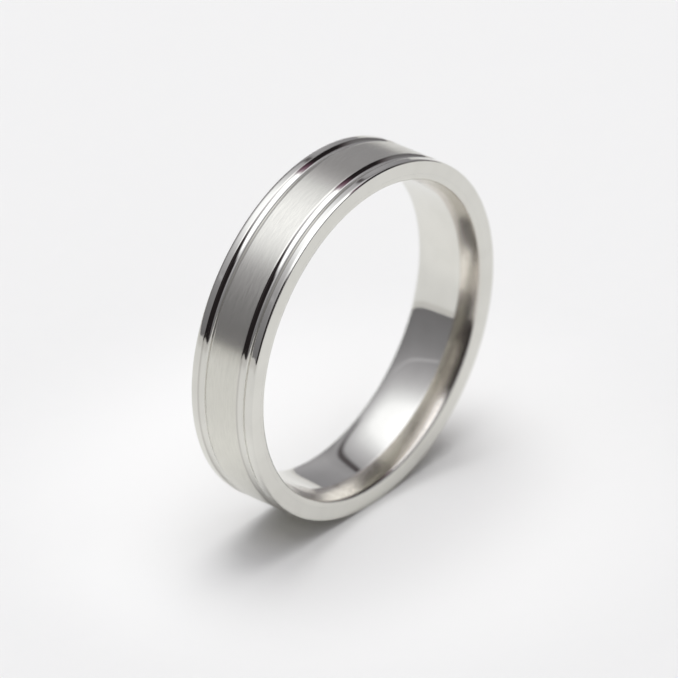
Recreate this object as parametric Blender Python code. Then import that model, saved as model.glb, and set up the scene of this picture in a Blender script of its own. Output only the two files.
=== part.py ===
"""Plain wedding band, 4 mm wide: a comfort-fit sleeve carrying three turned rings.

The finger's axis is Y. The front side face looks along -Y, +Z is up, and the
origin is the centre of the ring. Sizes are in metres.
"""
import math

import bmesh
import bpy
from mathutils import Matrix

MM = 0.001

# Driving dimensions of the band.
OUTER_RADIUS = 9.80 * MM
BAND_WIDTH = 4.00 * MM
BORE_RADIUS = 8.45 * MM          # smallest radius, at mid width
FACE_INNER_RADIUS = 8.84 * MM    # where the bore's shoulder meets a side face
SHOULDER_LENGTH = 1.00 * MM      # along the axis, from a side face into the bore
SLEEVE_OUTER_RADIUS = 9.06 * MM
RIM_BEVEL = 0.10 * MM            # bevel round the outer edge of each side face

# One polished groove separates the satin centre from each edge ring.
GROOVE_WIDTH = 0.58 * MM
GROOVE_DEPTH = 0.125 * MM
GROOVE_FROM_FACE = 0.73 * MM     # side face to the middle of the groove

PIECE_GAP = 0.02 * MM            # between neighbouring pieces

# Fineness of the turned shapes.
SEGMENTS = 72
GROOVE_HALF_STEPS = 4
SHOULDER_STEPS = 5

HALF_WIDTH = BAND_WIDTH / 2
SEAM = HALF_WIDTH - GROOVE_FROM_FACE
GROOVE_LIP = GROOVE_WIDTH / 2


def metal(name, colour, roughness):
    """A bare metal, as a Principled BSDF."""
    material = bpy.data.materials.new(name)
    material.use_nodes = True
    shader = material.node_tree.nodes["Principled BSDF"]
    shader.inputs["Base Color"].default_value = (*colour, 1.0)
    shader.inputs["Metallic"].default_value = 1.0
    shader.inputs["Roughness"].default_value = roughness
    return material


def arc_radius(chord_half, sagitta):
    """Radius of the arc that rises by a sagitta over half a chord."""
    return (chord_half ** 2 + sagitta ** 2) / (2 * sagitta)


def groove_depth_at(offset):
    """Depth of the round-bottomed groove at a distance from its middle."""
    radius = arc_radius(GROOVE_LIP, GROOVE_DEPTH)
    fall = radius - math.sqrt(radius ** 2 - offset ** 2)
    return GROOVE_DEPTH - fall


def bore_radius_at(from_face):
    """Bore radius at a distance in from a side face: an arc, then straight."""
    if from_face >= SHOULDER_LENGTH:
        return BORE_RADIUS
    radius = arc_radius(SHOULDER_LENGTH, FACE_INNER_RADIUS - BORE_RADIUS)
    run = SHOULDER_LENGTH - from_face
    return BORE_RADIUS + radius - math.sqrt(radius ** 2 - run ** 2)


def half_groove(first, last):
    """Outline points of half a groove, from one distance off its middle to another."""
    points = []
    for step in range(GROOVE_HALF_STEPS + 1):
        offset = first + (last - first) * step / GROOVE_HALF_STEPS
        points.append((offset, OUTER_RADIUS - groove_depth_at(abs(offset))))
    return points


def sleeve_outline():
    """Closed outline of the sleeve, as (place along Y, radius)."""
    shoulder = [SHOULDER_LENGTH * step / SHOULDER_STEPS for step in range(SHOULDER_STEPS + 1)]
    front = [(run - HALF_WIDTH, bore_radius_at(run)) for run in shoulder]
    rear = [(HALF_WIDTH - run, bore_radius_at(run)) for run in reversed(shoulder)]
    outer = [(HALF_WIDTH, SLEEVE_OUTER_RADIUS), (-HALF_WIDTH, SLEEVE_OUTER_RADIUS)]
    return front + rear + outer


def centre_band_outline():
    """Closed outline of the satin ring, with half a groove at each end."""
    inner = SLEEVE_OUTER_RADIUS + PIECE_GAP
    half_gap = PIECE_GAP / 2
    rear_half = half_groove(-GROOVE_LIP, -half_gap)
    rear = [(SEAM + offset, radius) for offset, radius in rear_half]
    front = [(-place, radius) for place, radius in reversed(rear)]
    return [(-SEAM + half_gap, inner)] + front + rear + [(SEAM - half_gap, inner)]


def edge_ring_outline():
    """Closed outline of the front polished ring, with a bevelled rim."""
    inner = SLEEVE_OUTER_RADIUS + PIECE_GAP
    half_gap = PIECE_GAP / 2
    rim = [(-HALF_WIDTH, inner), (-HALF_WIDTH, OUTER_RADIUS - RIM_BEVEL),
           (-HALF_WIDTH + RIM_BEVEL, OUTER_RADIUS)]
    groove = [(offset - SEAM, radius) for offset, radius in half_groove(-GROOVE_LIP, -half_gap)]
    return rim + groove + [(-SEAM - half_gap, inner)]


def turned_ring(name, outline, material):
    """Turn a closed outline round the Y axis into one closed solid."""
    shape = bmesh.new()
    corners = [shape.verts.new((radius, place, 0.0)) for place, radius in outline]
    edges = [shape.edges.new((corners[i - 1], corners[i])) for i in range(len(corners))]
    half_step = Matrix.Rotation(math.pi / SEGMENTS, 3, "Y")
    bmesh.ops.rotate(shape, verts=corners, cent=(0, 0, 0), matrix=half_step)
    bmesh.ops.spin(shape, geom=corners + edges, cent=(0, 0, 0), axis=(0, 1, 0),
                   angle=2 * math.pi, steps=SEGMENTS, use_merge=True)
    bmesh.ops.recalc_face_normals(shape, faces=shape.faces[:])
    mesh = bpy.data.meshes.new(name)
    shape.to_mesh(mesh)
    shape.free()
    mesh.materials.append(material)
    mesh.shade_smooth()
    mesh.set_sharp_from_angle(angle=math.radians(30))
    piece = bpy.data.objects.new(name, mesh)
    bpy.context.scene.collection.objects.link(piece)
    return piece


def build_band():
    polished = metal("polished_metal", (0.78, 0.77, 0.75), 0.08)
    mirror = metal("mirror_bore_metal", (0.78, 0.77, 0.75), 0.05)
    satin = metal("satin_metal", (0.74, 0.73, 0.70), 0.34)
    turned_ring("comfort_fit_sleeve", sleeve_outline(), mirror)
    turned_ring("satin_centre_band", centre_band_outline(), satin)
    front = edge_ring_outline()
    turned_ring("front_edge_ring", front, polished)
    rear = [(-place, radius) for place, radius in front]
    turned_ring("rear_edge_ring", rear, polished)


for leftover in list(bpy.data.objects):
    bpy.data.objects.remove(leftover, do_unlink=True)
build_band()
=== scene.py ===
import math

import bpy
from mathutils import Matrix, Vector


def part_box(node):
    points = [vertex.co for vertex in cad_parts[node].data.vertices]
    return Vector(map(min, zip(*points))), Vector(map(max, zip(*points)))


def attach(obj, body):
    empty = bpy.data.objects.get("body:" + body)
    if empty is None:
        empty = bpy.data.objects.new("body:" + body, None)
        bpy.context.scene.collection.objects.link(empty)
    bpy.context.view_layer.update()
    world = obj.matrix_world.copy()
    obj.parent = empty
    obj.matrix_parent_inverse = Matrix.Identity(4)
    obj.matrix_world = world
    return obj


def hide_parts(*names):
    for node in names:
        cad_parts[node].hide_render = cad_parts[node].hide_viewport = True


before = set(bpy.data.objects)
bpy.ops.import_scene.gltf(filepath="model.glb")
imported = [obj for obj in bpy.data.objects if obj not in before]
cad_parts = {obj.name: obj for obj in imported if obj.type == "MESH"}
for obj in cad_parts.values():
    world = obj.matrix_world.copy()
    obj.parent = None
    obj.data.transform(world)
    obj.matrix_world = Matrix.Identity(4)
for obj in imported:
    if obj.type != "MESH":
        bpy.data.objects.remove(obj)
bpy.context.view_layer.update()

MM = 0.001

# The frame gives the band's width. Its rings are faceted and stop just short of the true
# circle (9.79 mm against 9.80 mm), so the radii are stated here.
HALF_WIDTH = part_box("comfort_fit_sleeve")[1].y
OUTER_RADIUS = 9.80 * MM
SLEEVE_OUTER_RADIUS = 9.06 * MM
BORE_RADIUS = 8.41 * MM          # smallest radius, at mid width

# The bore's slopes are in degrees from the finger's axis.
MIDDLE_SLOPE = 2.6               # what a gentle dome gains from mid width to a side face
SHOULDER_LENGTH = 1.18 * MM      # along the axis, from the front side face into the bore
SHOULDER_START_SLOPE = 13.5      # a step up from the dome, which makes a crisp line
SHOULDER_END_SLOPE = 18.0
REAR_SLOPE = 9.0                 # what the dome gains as well towards the rear side face
REAR_POWER = 4                   # how late it gains it
LIP_START = 0.16 * MM            # where the bore rolls over into a side face
LIP_END_SLOPE = 80.0
LIP_POWER = 1.6

# The outer corner of each side face.
RIM_ALONG_RAIL = 0.20 * MM
RIM_DOWN_FACE = 0.10 * MM
RIM_SQUARENESS = 2.5             # 2 is an ellipse, and more is squarer

# One polished groove, with the seam at its bottom, at each side of the satin centre.
GROOVE_WIDTH = 0.58 * MM
GROOVE_DEPTH = 0.125 * MM
GROOVE_FROM_FACE = 0.73 * MM     # side face to the middle of the groove
GROOVE_FULLNESS = 1.25           # 1 is a plain arc with a hard lip, and more eases the lip
GROOVE_LIP = GROOVE_WIDTH / 2
SEAM = HALF_WIDTH - GROOVE_FROM_FACE
SEAM_GAP = 0.002 * MM

# Fineness of the turned meshes.
TURN_STEPS = 512
GROOVE_STEPS = 24
BORE_STEPS = 60
RIM_STEPS = 20
FLAT_STEPS = 6
SATIN_STEPS = 24
SHARP_ANGLE = math.radians(32)


# ---------------------------------------------------------------- outlines
def straight(first, last, steps=FLAT_STEPS):
    """Evenly spaced points between two corners, without the corners."""
    along = last[0] - first[0]
    up = last[1] - first[1]
    shares = [step / steps for step in range(1, steps)]
    return [(first[0] + along * share, first[1] + up * share) for share in shares]


def mirrored(outline):
    """The same outline at the band's other end."""
    return [(-place, radius) for place, radius in reversed(outline)]


def half_groove():
    """Half a groove as (distance from its middle, radius), from the lip in to the seam."""
    points = []
    for step in range(GROOVE_STEPS + 1):
        share = 1 - step / GROOVE_STEPS
        hollow = GROOVE_DEPTH * (1 - share ** 2) ** GROOVE_FULLNESS
        offset = max(share * GROOVE_LIP, SEAM_GAP / 2)
        points.append((offset, OUTER_RADIUS - hollow))
    return points


def rounded_rim():
    """The front outer corner: tight at the side face, and easing gently into the rail."""
    points = []
    power = 2 / RIM_SQUARENESS
    for step in range(RIM_STEPS + 1):
        angle = math.radians(90 * step / RIM_STEPS)
        along = RIM_ALONG_RAIL * (1 - abs(math.cos(angle)) ** power)
        up = RIM_DOWN_FACE * math.sin(angle) ** power
        points.append((-HALF_WIDTH + along, OUTER_RADIUS - RIM_DOWN_FACE + up))
    return points


def edge_ring_outline():
    """Front edge ring: side face, rounded rim, rail and the outer half of the groove."""
    inner = SLEEVE_OUTER_RADIUS + SEAM_GAP
    rim = rounded_rim()
    foot = (-HALF_WIDTH, inner)
    face = [foot] + straight(foot, rim[0])
    groove = [(-SEAM - offset, radius) for offset, radius in half_groove()]
    rail = straight(rim[-1], groove[0])
    return face + rim + rail + groove + [(-SEAM - SEAM_GAP / 2, inner)]


def centre_band_outline():
    """Satin ring: half a groove, the brushed flat and half a groove."""
    inner = SLEEVE_OUTER_RADIUS + SEAM_GAP
    groove = [(-SEAM + offset, radius) for offset, radius in reversed(half_groove())]
    front = [(-SEAM + SEAM_GAP / 2, inner)] + groove
    rear = mirrored(front)
    return front + straight(front[-1], rear[0], SATIN_STEPS) + rear


def lip_slope(place, slope_before):
    """Slope where the bore rolls over into a side face."""
    share = (place - (HALF_WIDTH - LIP_START)) / LIP_START
    return slope_before + (LIP_END_SLOPE - slope_before) * share ** LIP_POWER


def front_slope_at(place):
    """Slope of the bore's front half, by the distance from mid width."""
    shoulder_start = HALF_WIDTH - SHOULDER_LENGTH
    lip_start = HALF_WIDTH - LIP_START
    if place < shoulder_start:
        return MIDDLE_SLOPE * place / HALF_WIDTH
    if place < lip_start:
        share = (place - shoulder_start) / (lip_start - shoulder_start)
        return SHOULDER_START_SLOPE + (SHOULDER_END_SLOPE - SHOULDER_START_SLOPE) * share
    return lip_slope(place, SHOULDER_END_SLOPE)


def rear_dome_slope(place):
    """Slope of the rear half's dome, which steepens late."""
    share = place / HALF_WIDTH
    return MIDDLE_SLOPE * share + REAR_SLOPE * share ** REAR_POWER


def rear_slope_at(place):
    """Slope of the bore's rear half, which has no distinct shoulder."""
    lip_start = HALF_WIDTH - LIP_START
    if place < lip_start:
        return rear_dome_slope(place)
    return lip_slope(place, rear_dome_slope(lip_start))


def half_bore(slope_at):
    """Half the bore as (distance from mid width, radius), out to the side face."""
    points = [(0.0, BORE_RADIUS)]
    radius = BORE_RADIUS
    for step in range(1, BORE_STEPS + 1):
        place = HALF_WIDTH * step / BORE_STEPS
        before = HALF_WIDTH * (step - 1) / BORE_STEPS
        slope = slope_at((place + before) / 2)
        radius += (place - before) * math.tan(math.radians(slope))
        points.append((place, radius))
    return points


def sleeve_outline():
    """Comfort-fit sleeve: a gently domed bore, crisp at its front shoulder and soft behind."""
    front = mirrored(half_bore(front_slope_at))
    rear = half_bore(rear_slope_at)
    outer = [(HALF_WIDTH, SLEEVE_OUTER_RADIUS), (-HALF_WIDTH, SLEEVE_OUTER_RADIUS)]
    return front + rear[1:] + outer


# ---------------------------------------------------------------- meshes
def turned_mesh(name, outline):
    """Turn a closed outline of (place, radius) points round the Y axis."""
    count = len(outline)
    verts = []
    faces = []
    for turn in range(TURN_STEPS):
        angle = 2 * math.pi * turn / TURN_STEPS
        across = math.cos(angle)
        up = math.sin(angle)
        verts.extend((radius * across, place, radius * up) for place, radius in outline)
        here = turn * count
        there = (turn + 1) % TURN_STEPS * count
        for i in range(count):
            j = (i + 1) % count
            faces.append((here + i, there + i, there + j, here + j))
    mesh = bpy.data.meshes.new(name)
    mesh.from_pydata(verts, [], faces)
    mesh.validate()
    mesh.shade_smooth()
    mesh.set_sharp_from_angle(angle=SHARP_ANGLE)
    return mesh


def turned_piece(name, outline, material, node):
    """A fine turned ring that stands for a CAD node."""
    mesh = turned_mesh(name, outline)
    mesh.materials.append(material)
    piece = bpy.data.objects.new(name, mesh)
    bpy.context.scene.collection.objects.link(piece)
    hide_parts(node)
    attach(piece, "root")


# ---------------------------------------------------------------- node helpers
WHOLE = (0.0, 1.0)


class Nodes:
    """Short calls for building a node tree. A value is a number or another node's socket."""

    def __init__(self, owner):
        owner.use_nodes = True
        self.tree = owner.node_tree
        self.tree.nodes.clear()

    def add(self, kind, **settings):
        node = self.tree.nodes.new(kind)
        for key, value in settings.items():
            setattr(node, key, value)
        return node

    def feed(self, socket, value):
        if isinstance(value, bpy.types.NodeSocket):
            self.tree.links.new(value, socket)
        else:
            socket.default_value = value

    def maths(self, operation, *values):
        node = self.add("ShaderNodeMath", operation=operation)
        for socket, value in zip(node.inputs, values):
            self.feed(socket, value)
        return node.outputs[0]

    def plus(self, first, second):
        return self.maths("ADD", first, second)

    def times(self, first, second):
        return self.maths("MULTIPLY", first, second)

    def greater(self, first, second):
        return self.maths("MAXIMUM", first, second)

    def gap(self, first, second):
        """How far apart two values are."""
        return self.maths("ABSOLUTE", self.maths("SUBTRACT", first, second))

    def ramp(self, value, span, low=0.0, high=1.0, smooth=True):
        """Go from low to high while a value crosses a span, which may run downwards."""
        kind = "SMOOTHSTEP" if smooth else "LINEAR"
        node = self.add("ShaderNodeMapRange", interpolation_type=kind)
        for socket, number in zip(node.inputs, (value, *span, low, high)):
            self.feed(socket, number)
        return node.outputs[0]

    def curve(self, value, points):
        """A result read off a line through (value, result) points, for values from 0 to 1."""
        node = self.add("ShaderNodeFloatCurve")
        line = node.mapping.curves[0]
        top = max(result for _, result in points)
        line.points[0].location = (points[0][0], points[0][1] / top)
        line.points[-1].location = (points[-1][0], points[-1][1] / top)
        for place, result in points[1:-1]:
            line.points.new(place, result / top)
        node.mapping.update()
        self.feed(node.inputs["Value"], value)
        return self.times(node.outputs[0], top)

    def mix(self, share, first, second):
        """Mix two colours. A Mix node has sockets for numbers and vectors before these."""
        node = self.add("ShaderNodeMix", data_type="RGBA")
        self.feed(node.inputs["Factor"], share)
        self.feed(node.inputs[6], first)
        self.feed(node.inputs[7], second)
        return node.outputs[2]

    def noise(self, vector, detail, roughness, scale=1.0):
        node = self.add("ShaderNodeTexNoise")
        self.feed(node.inputs["Vector"], vector)
        self.feed(node.inputs["Scale"], scale)
        self.feed(node.inputs["Detail"], detail)
        self.feed(node.inputs["Roughness"], roughness)
        return node.outputs[0]

    def bump(self, height, distance):
        node = self.add("ShaderNodeBump")
        self.feed(node.inputs["Height"], height)
        self.feed(node.inputs["Distance"], distance)
        return node.outputs[0]

    def parts(self, vector):
        """The x, y and z of a vector."""
        node = self.add("ShaderNodeSeparateXYZ")
        self.feed(node.inputs[0], vector)
        return node.outputs

    def place(self):
        """Where a point is on its piece, in metres."""
        return self.add("ShaderNodeTexCoord").outputs["Object"]

    def surface(self, colour, roughness):
        """A Principled surface, joined to the material's output."""
        shader = self.add("ShaderNodeBsdfPrincipled")
        self.feed(shader.inputs["Base Color"], colour)
        self.feed(shader.inputs["Roughness"], roughness)
        output = self.add("ShaderNodeOutputMaterial")
        self.feed(output.inputs[0], shader.outputs[0])
        return shader

    def metal(self, colour, roughness, normal):
        shader = self.surface(colour, roughness)
        self.feed(shader.inputs["Metallic"], 1.0)
        self.feed(shader.inputs["Normal"], normal)
        return shader


def ring_coordinates(nodes, along, across, inwards):
    """Coordinates that follow the ring, with a scale along its turn, across it and inwards."""
    x, y, z = nodes.parts(nodes.place())
    radius = nodes.maths("SQRT", nodes.plus(nodes.times(x, x), nodes.times(z, z)))
    joined = nodes.add("ShaderNodeCombineXYZ")
    nodes.feed(joined.inputs[0], nodes.times(nodes.maths("DIVIDE", x, radius), along))
    nodes.feed(joined.inputs[1], nodes.plus(nodes.times(y, across), nodes.times(radius, inwards)))
    nodes.feed(joined.inputs[2], nodes.times(nodes.maths("DIVIDE", z, radius), along))
    return joined.outputs[0]


# ---------------------------------------------------------------- materials
WHITE_METAL = (0.715, 0.708, 0.662, 1.0)
WHITE_METAL_DULL = (0.685, 0.678, 0.632, 1.0)
SHOULDER_METAL = (0.68, 0.645, 0.59, 1.0)
SHOULDER_METAL_DULL = (0.56, 0.525, 0.475, 1.0)
# Painted shade: the grey of the soft lines along the groove lips.
LIP_SHADE_METAL = (0.56, 0.545, 0.505, 1.0)
SATIN_METAL = (0.70, 0.692, 0.632, 1.0)
SATIN_METAL_DULL = (0.655, 0.647, 0.591, 1.0)

# Scales of the noises: along the turn, across the band and inwards.
CLOUD_SCALES = (6.0, 900.0, 300.0)
HAIRLINE_SCALES = (3.0, 38000.0, 38000.0)
MOTTLE_SCALES = (90.0, 7000.0, 0.0)
SCRATCH_SCALES = (14.0, 15000.0, 15000.0)
STREAK_SCALES = (3.0, 6000.0, 0.0)

# Where the bounds of a noise fall, from one colour or roughness to the other.
CLOUD_COLOUR_SPAN = (0.35, 0.75)
CLOUD_ROUGHNESS_SPAN = (0.3, 0.8)
MOTTLE_COLOUR_SPAN = (0.34, 0.56)
MOTTLE_ROUGHNESS_SPAN = (0.35, 0.65)
GRAIN_COLOUR_SPAN = (0.34, 0.66)
GRAIN_ROUGHNESS_SPAN = (0.3, 0.7)

EDGE_ROUGHNESS = (0.05, 0.09)
BORE_ROUGHNESS = (0.03, 0.06)
SHOULDER_ROUGHNESS = (0.20, 0.12)
SATIN_ROUGHNESS = (0.26, 0.20)
GROOVE_ROUGHNESS = 0.07
SATIN_STRETCH = 0.9              # how far the grain draws a highlight out across the band
ACROSS_THE_GRAIN = 0.25          # in turns, from the tangent that follows the ring
SCRATCH_SHARE = 0.82             # of the satin grain; the streaks make up the rest

HAIRLINE_RELIEF = 0.0002 * MM
MOTTLE_RELIEF = 0.0004 * MM
SATIN_RELIEF = 0.00014 * MM

# Where the finishes meet, along the finger's axis.
# Where the lines of painted shade lie, beside each groove lip.
LIP_SHADE_FROM_SEAM = GROOVE_LIP - 0.03 * MM
LIP_SHADE_FADE = (0.0, 0.075 * MM)
SHOULDER_EDGE = SHOULDER_LENGTH - HALF_WIDTH
SHOULDER_FADE = (SHOULDER_EDGE - 0.05 * MM, SHOULDER_EDGE)
SIDE_FACE_FADE = (0.02 * MM - HALF_WIDTH, 0.12 * MM - HALF_WIDTH)
SATIN_EDGE = SEAM - GROOVE_LIP
SATIN_FADE = (SATIN_EDGE - 0.04 * MM, SATIN_EDGE + 0.01 * MM)


def lip_shade_line(nodes):
    """1 along each groove lip, where a soft grey line of painted shade darkens the metal, and 0
    elsewhere.
    """
    y = nodes.parts(nodes.place())[1]
    from_seam = nodes.gap(nodes.maths("ABSOLUTE", y), SEAM)
    return nodes.ramp(nodes.gap(from_seam, LIP_SHADE_FROM_SEAM), LIP_SHADE_FADE, 1.0, 0.0)


def shoulder_share(nodes):
    """1 on the bore's front shoulder, and 0 on the rest of the bore and on the side face."""
    y = nodes.parts(nodes.place())[1]
    off_bore = nodes.ramp(y, SHOULDER_FADE, 1.0, 0.0)
    return nodes.times(off_bore, nodes.ramp(y, SIDE_FACE_FADE))


def satin_share(nodes):
    """1 on the brushed flat, and 0 in the polished grooves beside it."""
    y = nodes.parts(nodes.place())[1]
    return nodes.ramp(nodes.maths("ABSOLUTE", y), SATIN_FADE, 1.0, 0.0)


def cloudy_polish(nodes):
    """The slightly uneven shine that all the polished metal shares, as noise and colour."""
    cloudy = nodes.noise(ring_coordinates(nodes, *CLOUD_SCALES), 3.0, 0.6)
    colour = nodes.mix(nodes.ramp(cloudy, CLOUD_COLOUR_SPAN), WHITE_METAL, WHITE_METAL_DULL)
    return cloudy, colour


def polished_metal(name):
    """Polished metal with faint hairlines round the turn, and grey lines of painted shade at the groove
    lips.
    """
    material = bpy.data.materials.new(name)
    nodes = Nodes(material)
    cloudy, colour = cloudy_polish(nodes)
    hairlines = nodes.noise(ring_coordinates(nodes, *HAIRLINE_SCALES), 3.0, 0.7)
    # Painted shade: soft grey lines along the groove lips.
    colour = nodes.mix(lip_shade_line(nodes), colour, LIP_SHADE_METAL)
    roughness = nodes.ramp(cloudy, CLOUD_ROUGHNESS_SPAN, *EDGE_ROUGHNESS)
    nodes.metal(colour, roughness, nodes.bump(hairlines, HAIRLINE_RELIEF))
    return material


def bore_metal(name):
    """Mirror bore, with a front shoulder that is less finely polished and faintly mottled."""
    material = bpy.data.materials.new(name)
    nodes = Nodes(material)
    cloudy, colour = cloudy_polish(nodes)
    mottle = nodes.noise(ring_coordinates(nodes, *MOTTLE_SCALES), 4.0, 0.7)
    worn = nodes.mix(nodes.ramp(mottle, MOTTLE_COLOUR_SPAN), SHOULDER_METAL_DULL, SHOULDER_METAL)
    shoulder = shoulder_share(nodes)
    colour = nodes.mix(shoulder, colour, worn)
    polish = nodes.ramp(cloudy, CLOUD_ROUGHNESS_SPAN, *BORE_ROUGHNESS)
    soft = nodes.ramp(mottle, MOTTLE_ROUGHNESS_SPAN, *SHOULDER_ROUGHNESS)
    roughness = nodes.ramp(shoulder, WHOLE, polish, soft, smooth=False)
    relief = nodes.times(mottle, shoulder)
    nodes.metal(colour, roughness, nodes.bump(relief, MOTTLE_RELIEF))
    return material


def satin_grain(nodes):
    """Fine scratches and broader streaks round the turn."""
    scratches = nodes.noise(ring_coordinates(nodes, *SCRATCH_SCALES), 3.0, 0.6)
    streaks = nodes.noise(ring_coordinates(nodes, *STREAK_SCALES), 2.0, 0.5)
    return nodes.plus(nodes.times(scratches, SCRATCH_SHARE), nodes.times(streaks, 1 - SCRATCH_SHARE))


def satin_metal(name):
    """Brushed metal, whose grain spreads a highlight across the band, with polished grooves."""
    material = bpy.data.materials.new(name)
    nodes = Nodes(material)
    grain = satin_grain(nodes)
    brushed = satin_share(nodes)
    dull = nodes.mix(nodes.ramp(grain, GRAIN_COLOUR_SPAN), SATIN_METAL_DULL, SATIN_METAL)
    colour = nodes.mix(brushed, WHITE_METAL, dull)
    # Painted shade: soft grey lines along the groove lips.
    colour = nodes.mix(lip_shade_line(nodes), colour, LIP_SHADE_METAL)
    scattered = nodes.ramp(grain, GRAIN_ROUGHNESS_SPAN, *SATIN_ROUGHNESS)
    roughness = nodes.ramp(brushed, WHOLE, GROOVE_ROUGHNESS, scattered, smooth=False)
    relief = nodes.times(grain, brushed)
    shader = nodes.metal(colour, roughness, nodes.bump(relief, SATIN_RELIEF))
    tangent = nodes.add("ShaderNodeTangent", direction_type="RADIAL", axis="Y")
    nodes.feed(shader.inputs["Tangent"], tangent.outputs[0])
    nodes.feed(shader.inputs["Anisotropic"], nodes.times(brushed, SATIN_STRETCH))
    nodes.feed(shader.inputs["Anisotropic Rotation"], ACROSS_THE_GRAIN)
    return material


def build_ring():
    edge_metal = polished_metal("polished_edge_metal")
    edge = edge_ring_outline()
    turned_piece("front_edge_ring_turned", edge, edge_metal, "front_edge_ring")
    turned_piece("rear_edge_ring_turned", mirrored(edge), edge_metal, "rear_edge_ring")
    satin = satin_metal("satin_centre_metal")
    turned_piece("satin_centre_band_turned", centre_band_outline(), satin,
                 "satin_centre_band")
    bore = bore_metal("mirror_bore_metal")
    turned_piece("comfort_fit_sleeve_turned", sleeve_outline(), bore, "comfort_fit_sleeve")


# ---------------------------------------------------------------- floor
# The visual rings reach a little lower than the frame's facets, and stand on this floor.
FLOOR_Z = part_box("front_edge_ring")[0].z - 0.012 * MM
FLOOR_RINGS = (20 * MM, 60 * MM, 140 * MM, 220 * MM, 300 * MM)
FLOOR_STEPS = 96
FLAT_REACH = 140 * MM            # beyond this the sheet starts to lift
FLOOR_LIP = 4 * MM               # height of its far edge

PAPER = (0.781, 0.780, 0.757, 1.0)
PAPER_FLECK = (0.796, 0.793, 0.770, 1.0)
# Painted light: the paper is lighter round the ring, to lift the ring's broad soft shadow.
PAPER_PAINTED_LIGHT_NEAR_RING = (0.880, 0.877, 0.850, 1.0)
# Painted shade: the paper is greyer far out, where less light reaches.
PAPER_PAINTED_SHADE_FAR = (0.70, 0.69, 0.66, 1.0)
PAPER_GRAIN = 900.0
NEAR_FADE = (11 * MM, 24 * MM)
FAR_FADE = (110 * MM, 170 * MM)
PAPER_ROUGHNESS = 0.95
PAPER_SHINE = 0.1


def floor_material():
    """Pale matt paper, with painted light round the ring and painted shade that greys it towards its far
    edge.
    """
    material = bpy.data.materials.new("pale_paper")
    nodes = Nodes(material)
    where = nodes.place()
    length = nodes.add("ShaderNodeVectorMath", operation="LENGTH")
    nodes.feed(length.inputs[0], where)
    distance = length.outputs["Value"]
    fleck = nodes.noise(where, 4.0, 0.6, scale=PAPER_GRAIN)
    colour = nodes.mix(fleck, PAPER, PAPER_FLECK)
    # Painted light round the ring.
    colour = nodes.mix(nodes.ramp(distance, NEAR_FADE, 1.0, 0.0), colour, PAPER_PAINTED_LIGHT_NEAR_RING)
    # Painted shade towards the far edge.
    colour = nodes.mix(nodes.ramp(distance, FAR_FADE), colour, PAPER_PAINTED_SHADE_FAR)
    shader = nodes.surface(colour, PAPER_ROUGHNESS)
    nodes.feed(shader.inputs["Specular IOR Level"], PAPER_SHINE)
    return material


def floor_height(reach):
    """Height of the sheet at a distance from its middle."""
    lift = max(0.0, (reach - FLAT_REACH) / (FLOOR_RINGS[-1] - FLAT_REACH)) ** 2
    return FLOOR_Z + lift * (FLOOR_LIP - FLOOR_Z)


def build_floor():
    """A round sheet whose far edge lifts, so that it meets the horizon softly."""
    verts = [(0.0, 0.0, FLOOR_Z)]
    for reach in FLOOR_RINGS:
        for turn in range(FLOOR_STEPS):
            angle = 2 * math.pi * turn / FLOOR_STEPS
            verts.append((reach * math.cos(angle), reach * math.sin(angle), floor_height(reach)))
    faces = [(0, 1 + turn, 1 + (turn + 1) % FLOOR_STEPS) for turn in range(FLOOR_STEPS)]
    for ring in range(len(FLOOR_RINGS) - 1):
        start = 1 + ring * FLOOR_STEPS
        beyond = start + FLOOR_STEPS
        for turn in range(FLOOR_STEPS):
            after = (turn + 1) % FLOOR_STEPS
            faces.append((start + turn, beyond + turn, beyond + after, start + after))
    mesh = bpy.data.meshes.new("floor")
    mesh.from_pydata(verts, [], faces)
    mesh.shade_smooth()
    mesh.materials.append(floor_material())
    floor = bpy.data.objects.new("floor", mesh)
    bpy.context.scene.collection.objects.link(floor)


# ---------------------------------------------------------------- what the metal reflects
# Spans are parts of a unit direction: x to the ring's right, y to its rear and z up.
# A level is a brightness, and 1 is white.
GLOW_LEAN = 0.045                # the overhead glow leans to the left
ROOM_LEVELS = ((0.0, 0.185), (0.12, 0.20), (0.29, 0.235), (0.44, 0.29), (0.58, 0.41),
               (0.70, 0.62), (0.775, 0.98), (0.83, 1.42), (0.90, 1.7), (1.0, 1.9))
ROOM_TO_THE_REAR = (0.05, 0.32)
ROOM_TO_THE_FRONT = (-0.52, -0.74)

RIGHT_WALL_X = (0.45, 0.75)
RIGHT_WALL_Z = (0.60, 0.45)
RIGHT_WALL_LEVEL = 0.11
FAR_CORNER_X = (0.50, 0.70)
FAR_CORNER_Y = (0.53, 0.60)
FAR_CORNER_LEVEL = 0.10

LINE_RISE = 0.70                 # how fast the dark line climbs towards the rear
LINE_MIDDLE = 0.222
LINE_FADE = (0.014, 0.044)
LINE_X = (0.05, 0.20)
LINE_DEPTH = 0.8
GLINT_UNDER_LINE = 0.10
GLINT_FADE = (0.0, 0.022)
GLINT_X = (-0.50, -0.30)
GLINT_LEVEL = 0.18

CORE_Z = (0.76, 0.90)
CORE_X = (0.36, 0.50)
CORE_LEVEL = 1.9
CORE_SHARES = ((0.0, 0.0), (0.15, 0.06), (0.35, 0.18), (0.52, 0.40), (0.66, 1.0), (1.0, 1.0))
RIGHT_END_X = (0.80, 0.93)
RIGHT_END_LEVEL = 0.18
LOWEST_LEVEL = 0.020

DARK_TINT = (1.0, 0.82, 0.90, 1.0)
DIM_TINT = (0.99, 0.975, 1.045, 1.0)
BRIGHT_TINT = (0.975, 0.983, 1.035, 1.0)
DARK_TO_DIM = (0.0, 0.25)
DIM_TO_BRIGHT = (0.35, 1.2)

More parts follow.
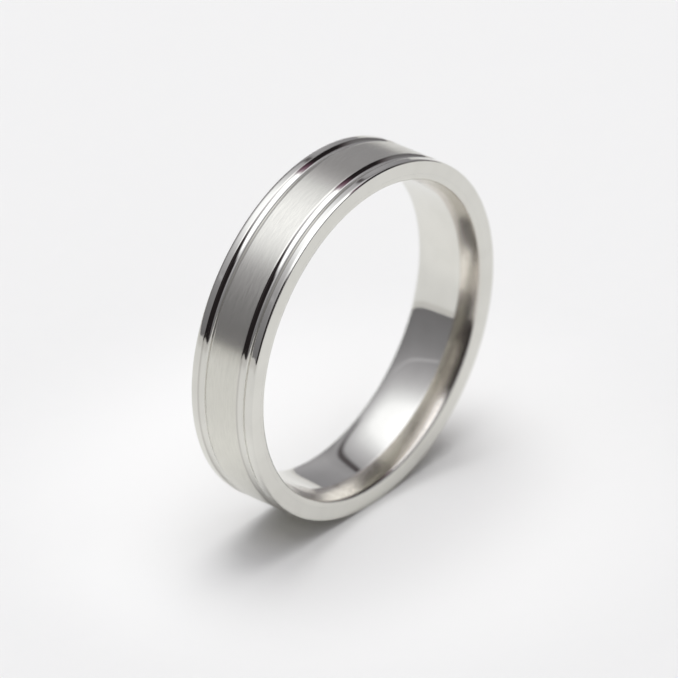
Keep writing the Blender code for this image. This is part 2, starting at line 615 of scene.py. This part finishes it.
PINK_PATCH = (0.25, 0.125, 0.19, 1.0)
PINK_X_IN = (0.34, 0.43)
PINK_X_OUT = (0.44, 0.60)
PINK_Y_OUT = (0.10, 0.34)
PINK_Y_IN = (-0.60, -0.30)
PINK_Z_IN = (0.74, 0.84)
PINK_STRENGTH = 0.75

BACKDROP = (0.90, 0.905, 0.905, 1.0)


def room_level(nodes, x, y, z, height):
    """The room: dim low down and bright overhead, with a lighter right wall and far corner."""
    wall = nodes.times(nodes.ramp(x, RIGHT_WALL_X), nodes.ramp(z, RIGHT_WALL_Z, 0.0, RIGHT_WALL_LEVEL))
    corner = nodes.times(nodes.ramp(x, FAR_CORNER_X), nodes.ramp(y, FAR_CORNER_Y, 0.0, FAR_CORNER_LEVEL))
    return nodes.plus(nodes.curve(height, ROOM_LEVELS), nodes.plus(wall, corner))


def with_line_and_glint(nodes, level, x, y, z):
    """Cross the room with a slanting dark line at the right and a thin glint at the left."""
    line_z = nodes.plus(nodes.times(y, LINE_RISE), LINE_MIDDLE)
    on_line = nodes.ramp(nodes.gap(z, line_z), LINE_FADE, 1.0, 0.0)
    line = nodes.times(on_line, nodes.ramp(x, LINE_X, 0.0, LINE_DEPTH))
    level = nodes.times(level, nodes.maths("SUBTRACT", 1.0, line))
    from_glint = nodes.gap(line_z, nodes.plus(z, GLINT_UNDER_LINE))
    on_glint = nodes.ramp(from_glint, GLINT_FADE, 1.0, 0.0)
    glint = nodes.times(on_glint, nodes.ramp(x, GLINT_X, GLINT_LEVEL, 0.0))
    return nodes.plus(level, glint)


def core_level(nodes, x, y, height):
    """The overhead light's bright core, full to the rear and fading towards the front."""
    core = nodes.ramp(height, CORE_Z, 0.0, CORE_LEVEL)
    core = nodes.times(core, nodes.curve(nodes.plus(y, 1.0), CORE_SHARES))
    return nodes.times(core, nodes.ramp(x, CORE_X, 1.0, 0.0))


def studio_level(nodes, x, y, z):
    """Brightness of everything the metal can see. It is darkest on the camera's side."""
    height = nodes.maths("SUBTRACT", z, nodes.times(x, GLOW_LEAN))
    room = with_line_and_glint(nodes, room_level(nodes, x, y, z, height), x, y, z)
    lit = nodes.greater(nodes.ramp(y, ROOM_TO_THE_REAR), nodes.ramp(y, ROOM_TO_THE_FRONT))
    level = nodes.greater(nodes.times(lit, room), core_level(nodes, x, y, height))
    level = nodes.greater(level, nodes.ramp(x, RIGHT_END_X, 0.0, RIGHT_END_LEVEL))
    return nodes.plus(level, LOWEST_LEVEL)


def studio_colour(nodes, level):
    """Colour the dark parts faintly pink and the bright ones faintly blue."""
    tint = nodes.mix(nodes.ramp(level, DARK_TO_DIM), DARK_TINT, DIM_TINT)
    tint = nodes.mix(nodes.ramp(level, DIM_TO_BRIGHT), tint, BRIGHT_TINT)
    coloured = nodes.add("ShaderNodeVectorMath", operation="SCALE")
    nodes.feed(coloured.inputs[0], tint)
    nodes.feed(coloured.inputs["Scale"], level)
    return coloured.outputs[0]


def pink_share(nodes, x, y, z):
    """How far the small pink patch beside the overhead light covers the room."""
    share = nodes.times(nodes.ramp(x, PINK_X_IN), nodes.ramp(x, PINK_X_OUT, PINK_STRENGTH, 0.0))
    share = nodes.times(share, nodes.ramp(y, PINK_Y_OUT, 1.0, 0.0))
    share = nodes.times(share, nodes.ramp(y, PINK_Y_IN))
    return nodes.times(share, nodes.ramp(z, PINK_Z_IN))


def build_world():
    """A studio for the metal to reflect, which the camera itself sees as a plain backdrop."""
    world = bpy.data.worlds.new("studio")
    bpy.context.scene.world = world
    nodes = Nodes(world)
    x, y, z = nodes.parts(nodes.add("ShaderNodeTexCoord").outputs["Generated"])
    coloured = studio_colour(nodes, studio_level(nodes, x, y, z))
    studio = nodes.add("ShaderNodeBackground")
    nodes.feed(studio.inputs["Color"], nodes.mix(pink_share(nodes, x, y, z), coloured, PINK_PATCH))
    backdrop = nodes.add("ShaderNodeBackground")
    nodes.feed(backdrop.inputs["Color"], BACKDROP)
    choose = nodes.add("ShaderNodeMixShader")
    nodes.feed(choose.inputs[0], nodes.add("ShaderNodeLightPath").outputs["Is Camera Ray"])
    nodes.feed(choose.inputs[1], studio.outputs[0])
    nodes.feed(choose.inputs[2], backdrop.outputs[0])
    output = nodes.add("ShaderNodeOutputWorld")
    nodes.feed(output.inputs[0], choose.outputs[0])


# ---------------------------------------------------------------- lamp
LAMP_PLACE = (50 * MM, 52 * MM, 400 * MM)
LAMP_SIZE = 320 * MM
LAMP_POWER = 0.80


def build_lamp():
    """A large soft lamp aimed at the ring. Only matt surfaces show it, so it lights the floor."""
    data = bpy.data.lights.new("overhead_soft_light", "AREA")
    data.shape = "DISK"
    data.size = LAMP_SIZE
    data.energy = LAMP_POWER
    lamp = bpy.data.objects.new("overhead_soft_light", data)
    lamp.location = LAMP_PLACE
    lamp.rotation_euler = (-Vector(LAMP_PLACE)).to_track_quat("-Z", "Y").to_euler()
    lamp.visible_glossy = False
    lamp.visible_camera = False
    bpy.context.scene.collection.objects.link(lamp)


# ---------------------------------------------------------------- camera
CAMERA_AZIMUTH = math.radians(-50.55)
CAMERA_ELEVATION = math.radians(31.4)
CAMERA_DISTANCE = 588 * MM
VIEW_WIDTH = 34.73 * MM          # what the picture spans at the ring
RING_RIGHT_OF_MIDDLE = 0.246 * MM
RING_ABOVE_MIDDLE = 0.538 * MM
FOCUS_POINT = (-8.0 * MM, -1.5 * MM, 3.0 * MM)
F_STOP = 66
SENSOR_WIDTH = 36                # in millimetres, as Blender wants it
CLIP_START = 0.05
CLIP_END = 3.0


def camera_data():
    """The lens, focused on the ring's near side."""
    focus = bpy.data.objects.new("focus_point", None)
    focus.location = FOCUS_POINT
    bpy.context.scene.collection.objects.link(focus)
    data = bpy.data.cameras.new("camera")
    data.sensor_width = SENSOR_WIDTH
    data.lens = SENSOR_WIDTH * CAMERA_DISTANCE / VIEW_WIDTH
    data.clip_start = CLIP_START
    data.clip_end = CLIP_END
    data.dof.use_dof = True
    data.dof.focus_object = focus
    data.dof.aperture_fstop = F_STOP
    return data


def build_camera():
    level = math.cos(CAMERA_ELEVATION)
    back = Vector((math.sin(CAMERA_AZIMUTH) * level, -math.cos(CAMERA_AZIMUTH) * level,
                   math.sin(CAMERA_ELEVATION)))
    facing = (-back).to_track_quat("-Z", "Y")
    right = facing @ Vector((1, 0, 0))
    up = facing @ Vector((0, 1, 0))
    camera = bpy.data.objects.new("camera", camera_data())
    camera.rotation_mode = "QUATERNION"
    camera.rotation_quaternion = facing
    camera.location = back * CAMERA_DISTANCE - right * RING_RIGHT_OF_MIDDLE - up * RING_ABOVE_MIDDLE
    bpy.context.scene.collection.objects.link(camera)
    bpy.context.scene.camera = camera


# ---------------------------------------------------------------- build
build_ring()
build_floor()
build_world()
build_lamp()
build_camera()
bpy.context.scene.view_settings.view_transform = "Standard"
